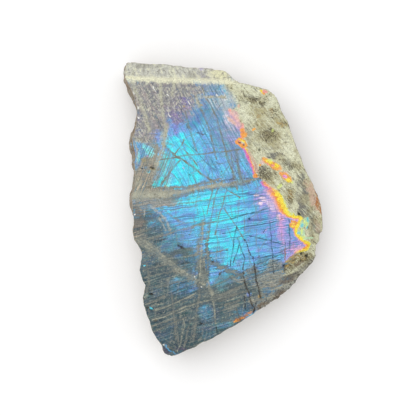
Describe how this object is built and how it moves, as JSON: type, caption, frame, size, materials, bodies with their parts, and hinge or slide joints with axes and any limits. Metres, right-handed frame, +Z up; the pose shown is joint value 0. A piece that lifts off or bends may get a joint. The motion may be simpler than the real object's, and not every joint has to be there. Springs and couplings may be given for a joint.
{
  "type": "semi-polished labradorite slab",
  "caption": "Irregular hand-size stone slab with one flat polished face of blue flash, rough broken side walls and a flat sawn back; lies flat as a display specimen.",
  "frame": {"origin": "on the sawn back, under the middle of the slab's outline", "axes": "+Z up out of the polished face, +Y along the length of the slab towards its straight bevelled end, +X across it"},
  "size_m": [0.0806, 0.1178, 0.018],
  "materials": {
    "labradorite": "Satin-polished face with cyan, blue and violet flash under tan-grey healed cracks, a pink, orange and yellow band towards an olive-cream matrix; rough grey-brown broken walls, matt sawn back."
  },
  "bodies": {
    "root": {"labradorite_slab": "labradorite"}
  },
  "joints": []
}
